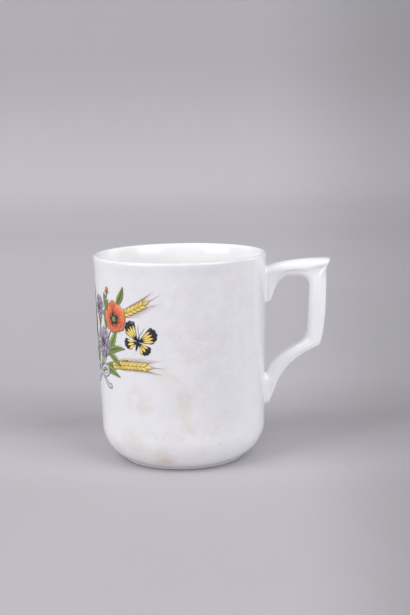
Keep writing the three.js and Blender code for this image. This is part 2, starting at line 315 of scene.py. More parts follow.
def handle_legs():
    """The legs from the upper root to the lower one: both rails, the steps and the section at the end.
    A section is its width at both rails, the radius of its edges there, its outer face's bulge, and
    how far its flank steps in at a ledge, from 0 to 1, where it would otherwise taper evenly. A share
    below places a curve's control point along the driving size that it multiplies."""
    in_wall = -WALL_THICKNESS
    grip_foot = GRIP_REACH - GRIP_LEAN
    grip_inner = GRIP_REACH - GRIP_THICKNESS
    lower_root_top = HANDLE_HEIGHT - LOWER_ROOT_HEIGHT

    nose = at(THUMB_REACH, THUMB_DIP - THUMB_RISE)
    thumb_crest = at(0.56 * THUMB_REACH, -THUMB_RISE)
    undercut = at(GRIP_REACH, UNDERCUT_DROP)
    grip_belly = at(GRIP_REACH + 0.3 * GRIP_LEAN, 0.68 * ELBOW_DROP)
    elbow = at(grip_foot, ELBOW_DROP)
    arm_end_reach = LOWER_ROOT_LIP + 0.9 * ARM_THICKNESS
    arm_end_drop = lower_root_top + 0.28 * LOWER_ROOT_HEIGHT
    arm_end = at(arm_end_reach, arm_end_drop)
    arm_bend_reach = mix(grip_foot, arm_end_reach, 0.72)
    arm_bend_drop = mix(ELBOW_DROP, arm_end_drop, 0.33)
    arm_bend = at(arm_bend_reach, arm_bend_drop)
    lower_tip = at(LOWER_ROOT_LIP, HANDLE_HEIGHT)
    lower_tip_start = towards(lower_tip, arm_end, 0.5 * LOWER_ROOT_LIP)

    tip_share, flank_share, bar_share = 0.18, 0.45, 0.6
    thumb = curve(
        at(in_wall, 0.3 * THUMB_RISE),
        at(0.21 * THUMB_REACH, -0.65 * THUMB_RISE),
        thumb_crest,
        towards(nose, thumb_crest, NOSE_ROUND),
    )
    nose_curve = rounding(thumb_crest, nose, undercut, NOSE_ROUND)
    undercut_curve = rounding(nose, undercut, grip_belly, UNDERCUT_ROUND)
    elbow_curve = rounding(grip_belly, elbow, arm_bend, ELBOW_ROUND)

    upper_tip = at(UPPER_ROOT_LIP, UPPER_ROOT_HEIGHT)
    root_flank = at(2.6 * UPPER_ROOT_LIP, BAR_UNDER_DROP)
    bar_start = at(4.75 * UPPER_ROOT_LIP, BAR_UNDER_DROP)
    hole_corner = at(grip_inner, BAR_UNDER_DROP)
    hole_belly = at(grip_inner + 0.1 * GRIP_LEAN, 0.57 * ELBOW_DROP)
    hole_elbow = at(grip_foot - 1.25 * ARM_THICKNESS, ELBOW_DROP - 0.6 * ARM_THICKNESS)
    inner_arm_bend = at(arm_bend_reach - ARM_BEND_THICKNESS, arm_bend_drop)
    inner_root = at(0.35 * LOWER_ROOT_LIP, lower_root_top)
    inner_root_end = at(in_wall, lower_root_top + 0.15 * LOWER_ROOT_HEIGHT)

    tip_end = towards(upper_tip, root_flank, UPPER_ROOT_LIP)
    tip_curve = curve(at(in_wall, UPPER_ROOT_HEIGHT), upper_tip, tip_end)
    flank = curve(
        tip_curve(1),
        towards(upper_tip, root_flank, 0.4 * UPPER_ROOT_HEIGHT),
        root_flank,
        bar_start,
    )
    hole_corner_curve = rounding(bar_start, hole_corner, hole_belly, HOLE_CORNER_ROUND)
    hole_elbow_curve = rounding(hole_belly, hole_elbow, inner_arm_bend, HOLE_ELBOW_ROUND)
    inner_root_curve = curve(inner_root, inner_root_end)
    lower_tip_curve = curve(lower_tip_start, lower_tip, at(in_wall, HANDLE_HEIGHT))

    root = (ROOT_WIDTH, ROOT_TIP_WIDTH, SOFT_EDGE, SOFT_EDGE, FACE_BULGE, 0)
    bar = (ROOT_WIDTH, BAR_WIDTH, SOFT_EDGE, SOFT_EDGE, FACE_BULGE, 0)
    thumb_rest = (THUMB_WIDTH, GRIP_WIDTH, SOFT_EDGE, SOFT_EDGE, FACE_BULGE, 0.7)
    nose_end = (0.94 * THUMB_WIDTH, GRIP_WIDTH, CRISP_EDGE, SOFT_EDGE, NOSE_BULGE, 1)
    grip = (GRIP_WIDTH, GRIP_WIDTH, CRISP_EDGE, SOFT_EDGE, FACE_BULGE, 1)
    grip_top = (1.06 * GRIP_WIDTH, GRIP_WIDTH, CRISP_EDGE, SOFT_EDGE, FACE_BULGE, 1)
    arm = (ARM_WIDTH, ARM_WIDTH, SOFT_EDGE, SOFT_EDGE, FACE_BULGE, 0)
    lower = (ROOT_TIP_WIDTH, ROOT_WIDTH, SOFT_EDGE, SOFT_EDGE, FACE_BULGE, 0)

    thumb_start = past_wall(thumb)
    tip_start = past_wall(tip_curve)
    grip_outer = curve(undercut_curve(1), grip_belly, elbow_curve(0))
    grip_hole_side = curve(hole_corner_curve(1), hole_belly, hole_elbow_curve(0))
    last_inner = stretch(inner_root_curve, 0.5, 1)
    lower_start = 1 - past_wall(lambda s: lower_tip_curve(1 - s))
    lower_inner_start = 1 - past_wall(lambda s: last_inner(1 - s))
    return root, [
        (stretch(thumb, thumb_start, tip_share), stretch(tip_curve, tip_start, 1), 20, root),
        (stretch(thumb, tip_share, flank_share), flank, 28, bar),
        (stretch(thumb, flank_share, bar_share), curve(bar_start, hole_corner_curve(0)), 8, bar),
        (stretch(thumb, bar_share, 1), stretch(hole_corner_curve, 0, 0.5), 24, thumb_rest),
        (nose_curve, stretch(hole_corner_curve, 0.5, 0.65), 12, nose_end),
        (undercut_curve, stretch(hole_corner_curve, 0.65, 1), 20, grip_top),
        (grip_outer, grip_hole_side, 34, grip),
        (elbow_curve, hole_elbow_curve, 14, grip),
        (
            curve(elbow_curve(1), arm_bend, arm_end),
            curve(hole_elbow_curve(1), inner_arm_bend, inner_root),
            36,
            arm,
        ),
        (curve(arm_end, lower_tip_start), stretch(inner_root_curve, 0, 0.5), 20, lower),
        (stretch(lower_tip_curve, 0, lower_start), stretch(last_inner, 0, lower_inner_start), 16, lower),
    ]


def ring_of(outer, inner, shape):
    """The outline of one cross-section: a bar with rounded edges and slightly bulging faces, from the
    middle of the outer face round to it again."""
    outer_width, inner_width, outer_edge, inner_edge, bulge, ledge = shape
    length = (outer - inner).length
    outer_half, inner_half = outer_width / 2, inner_width / 2
    roomiest = EDGE_ALONG * length
    outer_edge = min(outer_edge, roomiest, EDGE_ACROSS * outer_half)
    inner_edge = min(inner_edge, roomiest, EDGE_ACROSS * inner_half)
    outer_level = length - min(bulge, length - outer_edge - roomiest) - outer_edge
    outer_face = [
        (mix(length, outer_level + outer_edge, s * s), s * (outer_half - outer_edge))
        for s in np.linspace(0, 1, 6)
    ]
    ledge_level = length - REST_THICKNESS
    side = []
    for s in np.linspace(0, 1, 16)[1:-1]:
        along = mix(outer_level, inner_edge, s)
        stepped = smoothstep(along, ledge_level - LEDGE_FALL / 2, ledge_level + LEDGE_FALL / 2)
        half_width = mix(inner_half, outer_half, mix(1 - s, stepped, ledge))
        side.append((along, half_width + FACE_BULGE * math.sin(math.pi * s)))
    half = [
        *outer_face,
        *arc(outer_level, outer_half - outer_edge, outer_edge, 0, 90, 8)[1:],
        *side,
        *arc(inner_edge, inner_half - inner_edge, inner_edge, 90, 180, 9),
        *[(0, (inner_half - inner_edge) * (1 - s)) for s in np.linspace(0, 1, 4)[1:]],
    ]
    outline = half + [(along, -sideways) for along, sideways in half[-2:0:-1]]
    across = (outer - inner).normalized()
    centre = [inner + across * along for along, _ in outline]
    return [(p.x, sideways, p.y) for p, (_, sideways) in zip(centre, outline)]


def handle_rings():
    """All cross-sections, as an array of rings by points by coordinates, softened as by glaze."""
    shape, legs = handle_legs()
    shape = np.array(shape, float)
    rings = []
    for outer, inner, steps, end in legs:
        end = np.array(end, float)
        for i in range(1 if rings else 0, steps + 1):
            share = i / steps
            rings.append(ring_of(outer(share), inner(share), mix(shape, end, smoothstep(share, 0, 1))))
        shape = end
    rings = np.array(rings)
    for _ in range(GLAZE_SOFTENING):
        rings[1:-1] = rings[:-2] / 4 + rings[1:-1] / 2 + rings[2:] / 4
    return rings


def lofted(rings):
    """A skin from ring to ring, closed at both ends."""
    count = len(rings[0])
    points = [tuple(p) for ring in rings for p in ring]
    faces = []
    for row in range(len(rings) - 1):
        for i in range(count):
            a, b = row * count + i, row * count + (i + 1) % count
            faces.append((a, a + count, b + count, b))
    faces.append(tuple(range(count)))
    faces.append(tuple(reversed(range((len(rings) - 1) * count, len(rings) * count))))
    return points, faces


def off_wall(point):
    """How far outside the wall's face a point lies."""
    return math.hypot(point[0], point[1]) - wall_radius(point[2])


def on_wall(point, lift=0.0):
    return np.array(skin(math.atan2(point[1], point[0]), point[2], lift))


def slip_fillet(strands):
    """The ring of slip round a root: a hollow curve from the handle's face to the wall's, backed
    inside the clay. A strand is a line of points along the handle's face, out of the wall."""
    corners, tops = [], []
    for strand in strands:
        gaps = [off_wall(p) for p in strand]
        first = next(i for i, gap in enumerate(gaps) if gap > 0)
        share = gaps[first - 1] / (gaps[first - 1] - gaps[first])
        corner = mix(strand[first - 1], strand[first], share)
        walked, last = 0.0, corner
        for point in strand[first:]:
            step = np.linalg.norm(point - last)
            if walked + step >= SLIP_REACH:
                last = mix(last, point, (SLIP_REACH - walked) / step)
                break
            walked, last = walked + step, point
        corners.append(on_wall(corner))
        tops.append(last)
    count = len(corners)
    middle = sum(corners) / count
    rows = []
    for i in range(count):
        corner, top = corners[i], tops[i]
        along = corners[(i + 1) % count] - corners[i - 1]
        outward = np.cross(along, np.array((corner[0], corner[1], 0)))
        outward /= np.linalg.norm(outward)
        if outward @ (corner - middle) < 0:
            outward = -outward
        foot = on_wall(corner + SLIP_REACH * outward, -SLIP_OVERLAP)
        inside = on_wall(corner - SLIP_BACK * outward, -SLIP_DEPTH)
        hollow = curve(Vector(top - SLIP_OVERLAP * outward), Vector(corner), Vector(foot))
        rows.append([*(tuple(hollow(s)) for s in np.linspace(0, 1, SLIP_STEPS + 1)), tuple(inside)])
    width = len(rows[0])
    faces = []
    for i in range(count):
        for j in range(width):
            a, b = i * width, (i + 1) % count * width
            k = (j + 1) % width
            faces.append((a + j, a + k, b + k, b + j))
    return [p for row in rows for p in row], faces


# Shader sums


class Wire:
    """A socket that can be used in sums: each operator adds its Math node."""

    def __init__(self, finish, socket):
        self.finish = finish
        self.socket = socket

    def math(self, operation, first, second):
        return self.finish.node("ShaderNodeMath", {"operation": operation}, {0: first, 1: second})

    def __add__(self, other):
        return self.math("ADD", self, other)

    def __radd__(self, other):
        return self.math("ADD", other, self)

    def __sub__(self, other):
        return self.math("SUBTRACT", self, other)

    def __rsub__(self, other):
        return self.math("SUBTRACT", other, self)

    def __mul__(self, other):
        return self.math("MULTIPLY", self, other)

    def __rmul__(self, other):
        return self.math("MULTIPLY", other, self)

    def __truediv__(self, other):
        return self.math("DIVIDE", self, other)

    def ramp(self, low, high):
        """0 at low and 1 at high, smooth between them."""
        settings = {"interpolation_type": "SMOOTHSTEP"}
        inputs = {"Value": self, "From Min": low, "From Max": high}
        return self.finish.node("ShaderNodeMapRange", settings, inputs)


class Finish:
    """The nodes of a material or of the world, and the one way that they are made."""

    def __init__(self, owner):
        owner.use_nodes = True
        self.owner = owner
        self.tree = owner.node_tree
        self.tree.nodes.clear()

    def node(self, kind, settings=None, inputs=None, output=0):
        made = self.tree.nodes.new(kind)
        for key, value in (settings or {}).items():
            setattr(made, key, value)
        for key, value in (inputs or {}).items():
            if isinstance(value, Wire):
                self.tree.links.new(value.socket, made.inputs[key])
            else:
                made.inputs[key].default_value = value
        return Wire(self, made.outputs[output])

    def position(self):
        return self.node("ShaderNodeTexCoord", output="Object")

    def noise(self, scale, detail=3.0, roughness=0.5, stretch=(1, 1, 1)):
        """Soft random patches, about 0 to 1. Scale is in patches to the metre."""
        where = self.node("ShaderNodeMapping", None, {"Vector": self.position(), "Scale": stretch})
        inputs = {"Vector": where, "Scale": scale, "Detail": detail, "Roughness": roughness}
        return self.node("ShaderNodeTexNoise", None, inputs)

    def near(self, point, size):
        """1 at a point given in metres, falling to 0 at a distance."""
        settings = {"operation": "DISTANCE"}
        gap = self.node("ShaderNodeVectorMath", settings, {0: self.position(), 1: point}, output="Value")
        return 1 - gap.ramp(0, size)

    def place(self, axis):
        """One coordinate of the surface, in metres."""
        return self.node("ShaderNodeSeparateXYZ", None, {"Vector": self.position()}, output=axis)

    def mark(self, name):
        """A number that the mesh keeps for each of its points."""
        return self.node("ShaderNodeAttribute", {"attribute_name": name}, None, output="Fac")

    def colours(self, share, first, second):
        """One colour turning into another. Sockets 6 and 7 are the Mix node's two colours."""
        first, second = (c if isinstance(c, Wire) else (*c, 1) for c in (first, second))
        inputs = {0: share, 6: first, 7: second}
        return self.node("ShaderNodeMix", {"data_type": "RGBA"}, inputs, output=2)

    def bump(self, height, distance):
        return self.node("ShaderNodeBump", None, {"Height": height, "Distance": distance})

    def seen(self):
        """1 for what the camera sees, straight on or in a reflection, and 0 for light thrown back."""
        kinds = ("Is Camera Ray", "Is Glossy Ray", "Is Transmission Ray")
        straight, mirrored, through = (self.node("ShaderNodeLightPath", output=kind) for kind in kinds)
        return straight + mirrored + through

    def output(self, kind, shader):
        """Leads a shader to the output, and gives back the material or the world."""
        out = self.tree.nodes.new(kind)
        self.tree.links.new(shader.socket, out.inputs["Surface"])
        return self.owner

    def surface(self, **sockets):
        names = {key.replace("_", " ").title(): value for key, value in sockets.items()}
        shader = self.node("ShaderNodeBsdfPrincipled", None, names)
        return self.output("ShaderNodeOutputMaterial", shader)


def new_finish(name):
    return Finish(bpy.data.materials.new(name))


# The lighter and the darker tone of each glaze and of the clay, and the grey of the flecks. The inner and
# the handle glaze are the outer glaze painted lighter, as painted light for the brighter light inside the
# mug and on the handle
OUTER_TONES = ((0.87, 0.865, 0.885), (0.845, 0.84, 0.862))
INNER_TONES_PAINTED_LIGHT = ((0.925, 0.92, 0.935), (0.905, 0.90, 0.915))
HANDLE_TONES_PAINTED_LIGHT = ((0.92, 0.915, 0.935), (0.90, 0.895, 0.92))
BISCUIT_TONES = ((0.52, 0.49, 0.45), (0.32, 0.30, 0.28))
FLECK_GREY = (0.56, 0.53, 0.60)
FLECK_DEPTH = 0.5
GLAZE_RIPPLE = 0.04

# Tints of age in the outer glaze, and a grey veil that is partly the glaze's own mottle and partly painted
# shade, darker over the front of the wall than at its lit sides
RUST = (0.62, 0.44, 0.28)
TEA = (0.66, 0.55, 0.44)
STRAW = (0.70, 0.68, 0.46)
VEIL_AND_PAINTED_SHADE = (0.66, 0.63, 0.70)
# The even part of the veil is painted shade, and its blotches are the glaze's grey mottle
VEIL_AND_PAINTED_SHADE_EVENNESS = 0.45  # how much of a veil is even, the rest of it being blotches

# Marks of age, and painted shade where the tint is the veil: tint, degrees round the wall, height and reach
# in millimetres, and depth of the tint
AGE_AND_SHADE_MARKS = (
    # The veil marks on the front of the wall, between -60 and -100 degrees, are mostly painted shade, the
    # widest of them over the whole front
    (VEIL_AND_PAINTED_SHADE, -66, 84, 28, 0.4),
    (VEIL_AND_PAINTED_SHADE, -68, 58, 28, 0.36),
    (VEIL_AND_PAINTED_SHADE, -66, 32, 24, 0.32),
    (VEIL_AND_PAINTED_SHADE, -96, 78, 28, 0.45),
    (VEIL_AND_PAINTED_SHADE, -92, 52, 30, 0.42),
    (VEIL_AND_PAINTED_SHADE, -90, 27, 26, 0.42),
    (VEIL_AND_PAINTED_SHADE, -78, 50, 75, 0.3),
    (VEIL_AND_PAINTED_SHADE, 60, 70, 30, 0.2),
    (VEIL_AND_PAINTED_SHADE, 130, 60, 34, 0.2),
    (RUST, -104, 5.2, 9, 0.65),
    (RUST, -130, 5.8, 9, 0.7),
    (RUST, -146, 8, 7, 0.3),
    (RUST, 70, 6, 9, 0.4),
    (TEA, -123, 32, 9, 0.5),
    (TEA, -116, 28, 6, 0.3),
    (TEA, -128, 14, 9, 0.35),
    (TEA, -97, 61, 5, 0.28),
    (TEA, -88, 34, 7, 0.45),
    (STRAW, -97, 42, 8, 0.4),
    (STRAW, -82, 37, 7, 0.35),
    (STRAW, -90, 28, 7, 0.5),
    (STRAW, -88, 18, 8, 0.45),
    (STRAW, -70, 20, 6, 0.25),
    (STRAW, -114, 11, 14, 0.35),
    (STRAW, -74, 13, 9, 0.3),
    (STRAW, -84, 50, 10, 0.22),
    (STRAW, 120, 24, 14, 0.35),
    (STRAW, 40, 44, 12, 0.2),
)


def glaze(name, tones):
    """The material and the tone of a glaze that is a little lighter in some places than in others."""
    finish = new_finish(name)
    return finish, finish.colours(finish.noise(scale=45, detail=3).ramp(0.3, 0.7), *tones)


def glazed(finish, tone):
    """A glossy surface, a little uneven in gloss and rippled like the skin of an orange."""
    ripple = finish.bump(finish.noise(scale=230, detail=2), GLAZE_RIPPLE * MM)
    gloss = 0.02 + 0.04 * finish.noise(scale=90, detail=4)
    return finish.surface(base_color=tone, roughness=gloss, normal=ripple)


def aged_and_shaded_glaze():
    """The outer glaze, with stains that have crept under it, fine grey flecks, and a grey veil that is
    partly painted shade over the front of the wall.
    """
    finish, tone = glaze("outer_glaze", OUTER_TONES)
    blotches = finish.noise(scale=160, detail=5, roughness=0.65).ramp(0.3, 0.72)
    for tint, degrees, height, reach, depth in AGE_AND_SHADE_MARKS:
        middle = to_frame(skin(math.radians(degrees), height))
        # The even share of the veil is painted shade
        even = VEIL_AND_PAINTED_SHADE_EVENNESS if tint is VEIL_AND_PAINTED_SHADE else 0
        share = finish.near(middle, reach * MM) * (even + (1 - even) * blotches) * depth
        tone = finish.colours(share, tone, tint)
    clusters = 0.25 + 0.75 * finish.noise(scale=70, detail=2).ramp(0.5, 0.64)
    flecks = finish.noise(scale=520, detail=4, roughness=0.6, stretch=(1, 1, 1.7)).ramp(0.54, 0.74)
    return glazed(finish, finish.colours(flecks * clusters * FLECK_DEPTH, tone, FLECK_GREY))


def biscuit():
    """The bare, matt clay of the foot ring's lowest edge, dark grey-brown, which draws a thin dark line
    round the foot.
    """
    finish = new_finish("bare_biscuit")
    tone = finish.colours(finish.noise(scale=300), *BISCUIT_TONES)
    return finish.surface(base_color=tone, roughness=0.85)


OUTER_GLAZE = aged_and_shaded_glaze()
# Lighter copies of the outer glaze, as painted light inside the mug and on the handle
INNER_GLAZE_PAINTED_LIGHT = glazed(*glaze("inner_glaze_painted_light", INNER_TONES_PAINTED_LIGHT))
HANDLE_GLAZE_PAINTED_LIGHT = glazed(*glaze("handle_glaze_painted_light", HANDLE_TONES_PAINTED_LIGHT))
BARE = biscuit()


def build_body():
    finishes = [OUTER_GLAZE, BARE, INNER_GLAZE_PAINTED_LIGHT]

    def finish_of(polygon):
        x, y, z = polygon.center / MM
        if z < FOOT_EDGE:
            return finishes.index(BARE)
        above_base = z > BASE_RECESS + FLOOR_THICKNESS / 2
        inside = above_base and math.hypot(x - AXIS, y) < wall_radius(z) - LIP_RADIUS
        return finishes.index(INNER_GLAZE_PAINTED_LIGHT if inside else OUTER_GLAZE)

    points, faces = turned(body_profile(), TURN_STEPS)
    body = piece("mug_body", points, faces, finishes, "glazed_porcelain", finish_of=finish_of)
    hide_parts("cup_body")


def build_handle():
    """The handle, and a fillet of slip round each end of it."""
    rings = handle_rings()
    points, faces = lofted(rings)
    handle = piece("mug_handle", points, faces, [HANDLE_GLAZE_PAINTED_LIGHT], "glazed_porcelain")
    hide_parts("handle")
    quarter = len(rings) // 4
    strands = rings.transpose(1, 0, 2)
    for name, node, group in (
        ("upper_slip_fillet", "upper_slip_joint", strands[:, :quarter]),
        ("lower_slip_fillet", "lower_slip_joint", strands[:, : -quarter - 1 : -1]),
    ):
        fillet = piece(name, *slip_fillet(group), [HANDLE_GLAZE_PAINTED_LIGHT], "glazed_slip")
        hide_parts(node)


build_body()
build_handle()


# The print: a spray of field flowers in enamel, laid on the wall opposite the handle. It is drawn in
# millimetres, (across, height), across being counted to the right from the middle of the spray. What
# a flower, a leaf or a ribbon is made of is drawn: a bare number there is a size in millimetres,
# a share of the whole, or degrees.

PRINT_MIDDLE = math.radians(-162)
PRINT_LEVEL = 55  # the height at which the spray is as wide on the wall as it is drawn
PRINT_RADIUS = wall_radius(PRINT_LEVEL)
FILM = 0.02  # how far the lowest film stands off the glaze, and how thick each one is
FILM_STEP = 0.003  # how much higher each film lies than the one before it
LAYER_STEP = 0.03  # how much higher each layer of the spray starts than the one under it
JOIN_GAP = 0.0002  # points of a patch that lie closer than this are one point
OUTLINE = 0.13  # how far the dark drawing shows round a patch of colour
NO_WIDTH = 1e-6  # a row of points narrower than this has no sideways direction
draw_random = random.Random(11)


def spot(across, height):
    return Vector((across, height))


def heading(degrees):
    angle = math.radians(degrees)
    return Vector((math.cos(angle), math.sin(angle)))


def bearing(way):
    """The degrees that heading turns into this way."""
    return math.degrees(math.atan2(way.y, way.x))


def run_of(line, share, span):
    """Which way a line runs at a share along it, taken over a span to either side."""
    return (line(min(1, share + span)) - line(max(0, share - span))).normalized()


def fan(centre, direction, spread, reach, inner, ribs, rings):
    """A grid of points that opens from a centre. reach gives its length at -1 to 1 across it."""
    grid = []
    for s in np.linspace(0, 1, rings):
        row = []
        for t in np.linspace(-1, 1, ribs):
            out = mix(inner, reach(t), s)
            row.append((centre + heading(direction + spread * t) * out, s, t))
        grid.append(row)
    return grid


def stroke(spine, half_width, steps, sides=3):
    """A grid of points along a line, as wide as half_width says at 0 to 1 along it."""
    grid = []
    for s in np.linspace(0, 1, steps + 1):
        here = spine(s)
        ahead = run_of(spine, s, 0.02)
        sideways = Vector((-ahead.y, ahead.x))
        row = [(here + sideways * half_width(s) * t, s, t) for t in np.linspace(-1, 1, sides)]
        grid.append(row)
    return grid


def tapering(width, end):
    """A half width that thins along a line and would be nothing at end, a little past 1."""
    return lambda s: width * (end - s)


def spindle(tip, belly, lean=1.0):
    """A half width that swells between two tips. A lean under 1 brings the belly nearer to the start."""
    return lambda s: tip + belly * math.sin(math.pi * s**lean)


def grown(grid, size):
    """The same grid with its rim pushed out, for the dark drawing under a patch of colour: both sides
    straight sideways, and both ends away from the middle."""
    last_row, last_column = len(grid) - 1, len(grid[0]) - 1
    middle = sum((p for row in grid for p, _, _ in row), spot(0, 0)) / (len(grid) * len(grid[0]))
    made = []
    for r, row in enumerate(grid):
        across = row[-1][0] - row[0][0]
        new_row = []
        for c, (point, s, t) in enumerate(row):
            on_side = c in (0, last_column)
            if on_side and across.length > NO_WIDTH:
                point = point + across.normalized() * (size if c else -size)
            elif on_side or r in (0, last_row):
                point = point + (point - middle).normalized() * size
            new_row.append((point, s, t))
        made.append(new_row)
    return made


class Enamel:
    """The films of one colour. Each point keeps how far along and across its patch it is, and the
    patch's own tone."""

    def __init__(self):
        self.points, self.faces = [], []
        self.marks = {"along": [], "across": [], "tone": []}

    def lay(self, grid, lift, tone):
        first = len(self.points)
        rows, columns = len(grid), len(grid[0])
        for row in grid:
            for point, along, across in row:
                self.points.append(skin(PRINT_MIDDLE + point.x / PRINT_RADIUS, point.y, lift))
                self.marks["along"].append(along)
                self.marks["across"].append(abs(across))
                self.marks["tone"].append(tone)
        for r in range(rows - 1):
            for c in range(columns - 1):
                a = first + r * columns + c
                self.faces.append((a, a + columns, a + columns + 1, a + 1))


class Painter:
    """Lays patch over patch, each a little higher than the last."""

    def __init__(self):
        self.colours = {}
        self.lift = FILM

    def start(self, layer):
        self.lift = FILM + LAYER_STEP * layer

    def paint(self, colour, grid, outline=OUTLINE):
        """A patch of colour over its dark outline."""
        self.lay("drawing", grown(grid, outline))
        self.lay(colour, grid)

    def lay(self, colour, grid):
        self.lift += FILM_STEP
        self.colours.setdefault(colour, Enamel()).lay(grid, self.lift, draw_random.random())


spray = Painter()


def bow(start, end, sag):
    """A line that leaves the straight way between two points by a share of its length."""
    way = end - start
    return curve(start, (start + end) / 2 + Vector((-way.y, way.x)) * sag, end)


def dot(colour, centre, radius):
    spray.lay(colour, fan(centre, 0, 180, lambda t: radius, inner=0, ribs=9, rings=2))


def leaf(base, direction, length, width, sag):
    spine = bow(base, base + heading(direction) * length, sag)
    spray.paint("leaf_green", stroke(spine, spindle(0.06, width / 2, 0.8), 9, 5))
    spray.lay("drawing", stroke(spine, tapering(0.09, 1.2), 8))


def stem(base, tip, sag):
    spray.paint("leaf_green", stroke(bow(base, tip, sag), lambda s: 0.28, 12), 0.08)


# Petals of a poppy, the back one first: degrees round it, spread, and length as a share of its size
PETALS = (
    (90, 52, 1.0),
    (150, 44, 0.92),
    (30, 44, 0.95),
    (215, 46, 0.82),
    (325, 46, 0.85),
    (270, 50, 0.72),
)
STAMENS = 17


def petal(centre, direction, spread, length):
    """A red petal with a ruffled rim."""
    ruffle = draw_random.uniform(2, 5)

    def reach(t):
        return length * (1 - 0.2 * t * t + 0.045 * math.sin(9 * t + ruffle))

    spray.paint("poppy_red", fan(centre, direction, spread, reach, inner=0.3, ribs=15, rings=8))


def poppy(centre, size, turn):
    """An open poppy: back petals, side petals and a front one, a dark blotch, a pod and its stamens."""
    for around, spread, share in PETALS:
        petal(centre, turn + around, spread, size * share)
        for t in np.linspace(-0.7, 0.7, 5):
            ray = heading(turn + around + spread * t)
            vein = curve(centre + ray * size * 0.3, centre + ray * size * share * 0.8)
            spray.lay("poppy_shade", stroke(vein, tapering(0.07, 1.3), 5))

    def blotch_reach(t):
        return 0.3 * size + 0.06 * size * math.sin(15 * t)

    spray.lay("black", fan(centre, turn, 180, blotch_reach, inner=0, ribs=40, rings=4))
    spray.lay("leaf_green", fan(centre, turn, 180, lambda t: 0.15 * size, inner=0, ribs=24, rings=3))
    for i in range(STAMENS):
        ray = heading(turn + 360 / STAMENS * i)
        dot("black", centre + ray * size * draw_random.uniform(0.34, 0.42), 0.22)


def poppy_bud(base, tip, size):
    """A green sheath on a bent stem, with the red petals coming out of it."""
    stem(base, tip, 0.18)
    onward = bearing(tip - base)
    sheath = fan(tip, onward, 60, lambda t: size * (1 - 0.35 * t * t), inner=0, ribs=7, rings=5)
    spray.paint("leaf_green", sheath)
    opening = tip + heading(onward) * 0.55 * size
    spray.paint("poppy_red", fan(opening, onward, 34, lambda t: 0.75 * size, inner=0, ribs=7, rings=4))


# Rings of rays of a cornflower: their number, length as a share of its size, and spread
RAYS = ((9, 1.0, 15), (7, 0.66, 17))
SEED_ANGLE = 137.5  # from each dot of the middle to the next, as seeds lie in a flower


def cornflower(centre, size, turn):
    """Rays with toothed ends round a dense middle."""
    for count, share, spread in RAYS:
        length = size * share

        def reach(t):
            return length * (0.86 + 0.14 * math.cos(3 * math.pi * t))

        for i in range(count):
            around = turn + 360 / count * i + draw_random.uniform(-5, 5)
            ray = fan(centre, around, spread, reach, inner=0.5, ribs=9, rings=6)
            spray.paint("cornflower_mauve", ray, 0.1)
    for i in range(14):
        place = centre + heading(turn + SEED_ANGLE * i) * size * 0.075 * math.sqrt(i + 1)
        dot("black" if i % 3 else "poppy_shade", place, 0.24)


GRAIN_SPACING = 2.1
GRAIN_LENGTH = 3.4
GRAIN_SPREAD = 27
AWN_SPREAD = 13


def wheat_ear(base, direction, length, sag):
    """Grains in two rows along a stalk and one at its tip, each with its awn."""
    stalk = bow(base, base + heading(direction) * length, sag)
    spray.lay("drawing", stroke(stalk, lambda s: 0.13, 10))
    pairs = round(length / GRAIN_SPACING)
    for i in range(pairs + 1):
        here = stalk(i / pairs)
        along = bearing(run_of(stalk, i / pairs, 0.03))
        for side in (-1, 1) if i < pairs else (0,):
            end = here + heading(along + side * GRAIN_SPREAD) * GRAIN_LENGTH
            awn_end = end + heading(along + side * AWN_SPREAD) * draw_random.uniform(5.5, 7.5)
            spray.lay("straw", stroke(curve(end, awn_end), tapering(0.1, 1.25), 4))
            grain = stroke(curve(here, end), spindle(0.05, 0.78, 0.85), 6, 5)
            spray.paint("wheat_yellow", grain, 0.1)


# Wings of the butterfly: degrees up from its side, spread, length as a share of its size, and the
# number of yellow fields
WINGS = ((38, 27, 1.0, 4), (-32, 30, 0.72, 3))


def wing(centre, side, direction, spread, length, fields):
    """A dark wing with yellow fields between its veins."""

    def reach(t):
        return length * (1 - 0.22 * (side * t - 0.25) ** 2 + 0.03 * math.cos(14 * t))

    def field_width(s):
        belly = 0.63 * length * math.radians(spread) / fields
        return 0.05 + belly * math.sin(math.pi * s) * (0.4 + 0.6 * s)

    spray.lay("black", fan(centre, direction, spread, reach, inner=0.2, ribs=13, rings=7))
    for t in np.linspace(-0.68, 0.68, fields):
        ray = heading(direction + spread * t) * length
        field = curve(centre + ray * 0.26, centre + ray * 0.76)
        spray.lay("wheat_yellow", stroke(field, field_width, 7, 5))


def butterfly(centre, size, turn):
    """Two pairs of wings, two feelers and a body."""
    head = heading(turn + 90)
    for side in (-1, 1):
        for rise, spread, share, fields in WINGS:
            wing(centre, side, turn + 90 - side * (90 - rise), spread, size * share, fields)
        feeler = centre + head * 0.3 * size
        feeler_tip = feeler + heading(turn + 90 - side * 22) * 0.42 * size
        spray.lay("drawing", stroke(bow(feeler, feeler_tip, -0.1 * side), lambda s: 0.08, 6))
    body = curve(centre - head * 0.42 * size, centre + head * 0.33 * size)
    spray.lay("black", stroke(body, spindle(0.1, 0.5, 0.8), 8, 5))


RIBBON_HALF = 0.85
RIBBON_OUTLINE = 0.12


def ribbon_bow(knot, size):
    """Two loops, two tails and a knot."""
    for side in (-1, 1):

        def out(across, up):
            return knot + spot(side * across * size, up * size)

        tail = curve(knot, out(0.5, -0.15), out(0.7, -0.9), out(1.45, -0.75))
        waving = stroke(tail, lambda s: RIBBON_HALF * (1 + 0.2 * math.sin(9 * s)), 16, 5)
        spray.paint("ribbon_grey", waving, RIBBON_OUTLINE)
        loop = curve(knot, out(0.5, 1.05), out(2.0, 0.35), out(0.9, -0.45), knot - spot(0, 0.1))
        round_loop = stroke(loop, spindle(0.75 * RIBBON_HALF, 0.3 * RIBBON_HALF), 22, 5)
        spray.paint("ribbon_grey", round_loop, RIBBON_OUTLINE)
    spray.paint("ribbon_grey", fan(knot, 0, 180, lambda t: 1.25, inner=0, ribs=17, rings=3), RIBBON_OUTLINE)


